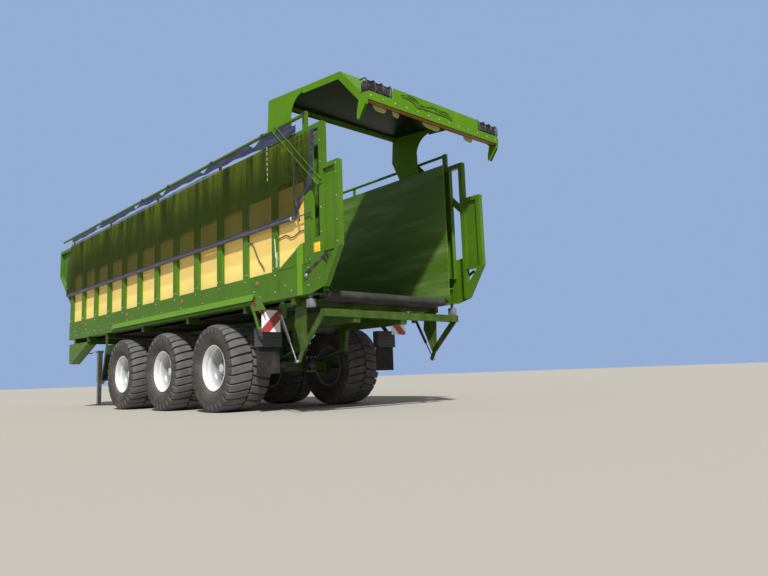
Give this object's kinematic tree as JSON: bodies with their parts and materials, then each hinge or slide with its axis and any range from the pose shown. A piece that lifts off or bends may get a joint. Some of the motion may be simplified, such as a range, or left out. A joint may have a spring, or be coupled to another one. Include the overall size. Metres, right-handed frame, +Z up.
{
  "type": "push-off trailer",
  "caption": "Farm push-off trailer with a belt floor, a front push wall, a raised swing-up tailgate, a side cover, self-steering axles and a folding underrun guard.",
  "frame": {"origin": "on the ground below the middle of the whole trailer's box", "axes": "+X forwards to the tow coupling, +Y to the trailer's left, +Z up"},
  "size_m": [12.4, 2.95, 4.56],
  "materials": {
    "green_paint": "satin paint, road dust",
    "green_steel": "satin paint, worn and dusty",
    "panel_beige": "semi-gloss pale yellow-beige paint, dusty",
    "lining_green": "scuffed paint",
    "mesh_green": "open-weave cover",
    "belt_black": "scuffed",
    "rim_silver": "silver paint",
    "tyre_black": "dusty",
    "flap_black": "matt",
    "hose_black": "matt",
    "lamp_black": "matt",
    "marker_white": "reflective sheet",
    "ram_black": "semi-gloss",
    "rod_chrome": "polished",
    "zinc_steel": "zinc plated",
    "tube_dark": "dark, dusty"
  },
  "bodies": {
    "chassis": {"axles": "green_steel", "belt_rollers": "zinc_steel", "chassis_frame": "green_steel", "cover_rails": "green_paint", "cover_tube": "tube_dark", "drawbar": "green_steel", "floor_belt": "belt_black", "floor_deck": "green_steel", "front_bars": "green_paint", "front_lockers": "green_steel", "guard_brackets": "green_steel", "hose_high": "hose_black", "hose_low": "hose_black", "marker_boards": "marker_white", "mud_flaps": "flap_black", "parking_jack": "zinc_steel", "pivot_brackets": "green_paint", "rear_frames": "green_paint", "side_cover": "mesh_green", "side_frame_left": "green_paint", "side_frame_right": "green_paint", "suspension": "green_steel", "tow_eye": "zinc_steel", "wall_panels": "panel_beige"},
    "wheel_front_left": {"rim_front_left": "rim_silver", "tyre_front_left": "tyre_black"},
    "knuckle_front_left": {"knuckle_front_left": "green_steel"},
    "wheel_front_right": {"rim_front_right": "rim_silver", "tyre_front_right": "tyre_black"},
    "knuckle_front_right": {"knuckle_front_right": "green_steel"},
    "wheel_middle_left": {"rim_middle_left": "rim_silver", "tyre_middle_left": "tyre_black"},
    "wheel_middle_right": {"rim_middle_right": "rim_silver", "tyre_middle_right": "tyre_black"},
    "wheel_rear_left": {"rim_rear_left": "rim_silver", "tyre_rear_left": "tyre_black"},
    "knuckle_rear_left": {"knuckle_rear_left": "green_steel"},
    "wheel_rear_right": {"rim_rear_right": "rim_silver", "tyre_rear_right": "tyre_black"},
    "knuckle_rear_right": {"knuckle_rear_right": "green_steel"},
    "tie_rod_front": {"tie_rod_front": "green_steel"},
    "tie_rod_rear": {"tie_rod_rear": "green_steel"},
    "push_wall": {"push_wall_frame": "green_steel", "push_wall_skin": "lining_green"},
    "tailgate": {"tailgate_beam": "green_paint", "tailgate_shell": "green_paint", "tail_lamps": "lamp_black"},
    "gate_ram_barrels": {"gate_ram_barrels": "ram_black"},
    "gate_ram_rods": {"gate_ram_rods": "rod_chrome"},
    "underrun_guard": {"underrun_guard": "green_steel"},
    "guard_ram_barrels": {"guard_ram_barrels": "ram_black"},
    "guard_ram_rods": {"guard_ram_rods": "rod_chrome"}
  },
  "joints": [
    {"name": "steer_front_left", "type": "hinge", "parent": "chassis", "child": "knuckle_front_left", "pos_m": [1.06, 0.72, 0.68], "axis": [0, 0, 1], "range_deg": [-15, 15]},
    {"name": "roll_front_left", "type": "hinge", "parent": "knuckle_front_left", "child": "wheel_front_left", "pos_m": [1.06, 1.12, 0.68], "axis": [0, 1, 0], "continuous": true},
    {"name": "steer_front_right", "type": "hinge", "parent": "chassis", "child": "knuckle_front_right", "pos_m": [1.06, -0.72, 0.68], "axis": [0, 0, 1], "range_deg": [-15, 15]},
    {"name": "roll_front_right", "type": "hinge", "parent": "knuckle_front_right", "child": "wheel_front_right", "pos_m": [1.06, -1.12, 0.68], "axis": [0, 1, 0], "continuous": true},
    {"name": "roll_middle_left", "type": "hinge", "parent": "chassis", "child": "wheel_middle_left", "pos_m": [-0.76, 1.12, 0.68], "axis": [0, 1, 0], "continuous": true},
    {"name": "roll_middle_right", "type": "hinge", "parent": "chassis", "child": "wheel_middle_right", "pos_m": [-0.76, -1.12, 0.68], "axis": [0, 1, 0], "continuous": true},
    {"name": "steer_rear_left", "type": "hinge", "parent": "chassis", "child": "knuckle_rear_left", "pos_m": [-2.58, 0.72, 0.68], "axis": [0, 0, 1], "range_deg": [-15, 15]},
    {"name": "roll_rear_left", "type": "hinge", "parent": "knuckle_rear_left", "child": "wheel_rear_left", "pos_m": [-2.58, 1.12, 0.68], "axis": [0, 1, 0], "continuous": true},
    {"name": "steer_rear_right", "type": "hinge", "parent": "chassis", "child": "knuckle_rear_right", "pos_m": [-2.58, -0.72, 0.68], "axis": [0, 0, 1], "range_deg": [-15, 15]},
    {"name": "roll_rear_right", "type": "hinge", "parent": "knuckle_rear_right", "child": "wheel_rear_right", "pos_m": [-2.58, -1.12, 0.68], "axis": [0, 1, 0], "continuous": true},
    {"name": "tie_rod_front_slide", "type": "slide", "parent": "chassis", "child": "tie_rod_front", "axis": [0, 1, 0], "range_m": [-0.0552, 0.0552]},
    {"name": "tie_rod_rear_slide", "type": "slide", "parent": "chassis", "child": "tie_rod_rear", "axis": [0, 1, 0], "range_m": [-0.0552, 0.0552]},
    {"name": "push_wall_travel", "type": "slide", "parent": "chassis", "child": "push_wall", "axis": [-1, 0, 0], "range_m": [0, 9.1]},
    {"name": "tailgate_swing", "type": "hinge", "parent": "chassis", "child": "tailgate", "pos_m": [-4.49, 0, 3.23], "axis": [0, -1, 0], "range_deg": [0, 84]},
    {"name": "gate_ram_swing", "type": "hinge", "parent": "chassis", "child": "gate_ram_barrels", "pos_m": [-4.86, 0, 2.28], "axis": [0, -1, 0], "range_deg": [0, 3.86]},
    {"name": "gate_ram_stroke", "type": "slide", "parent": "gate_ram_barrels", "child": "gate_ram_rods", "axis": [-0.1566, 0, -0.9877], "range_m": [0, 0.4378]},
    {"name": "guard_swing", "type": "hinge", "parent": "chassis", "child": "underrun_guard", "pos_m": [-4.76, 0, 0.86], "axis": [0, -1, 0], "range_deg": [0, 90]},
    {"name": "guard_ram_swing", "type": "hinge", "parent": "chassis", "child": "guard_ram_barrels", "pos_m": [-4.32, 0, 1.34], "axis": [0, -1, 0], "range_deg": [-7.05, 0]},
    {"name": "guard_ram_stroke", "type": "slide", "parent": "guard_ram_barrels", "child": "guard_ram_rods", "axis": [0.4798, 0, 0.8774], "range_m": [0, 0.2503]}
  ],
  "couplings": [
    {"joint": "steer_front_right", "follows": "steer_front_left", "ratio": 1},
    {"joint": "steer_rear_left", "follows": "steer_front_left", "ratio": -1},
    {"joint": "steer_rear_right", "follows": "steer_front_left", "ratio": -1},
    {"joint": "tie_rod_front_slide", "follows": "steer_front_left", "m_per_rad": -0.21},
    {"joint": "tie_rod_rear_slide", "follows": "steer_front_left", "m_per_rad": -0.21},
    {"joint": "gate_ram_swing", "follows": "tailgate_swing", "ratio": 0.04537},
    {"joint": "gate_ram_stroke", "follows": "tailgate_swing", "m_per_rad": 0.29795},
    {"joint": "guard_ram_swing", "follows": "guard_swing", "ratio": -0.07781},
    {"joint": "guard_ram_stroke", "follows": "guard_swing", "m_per_rad": 0.15874}
  ]
}
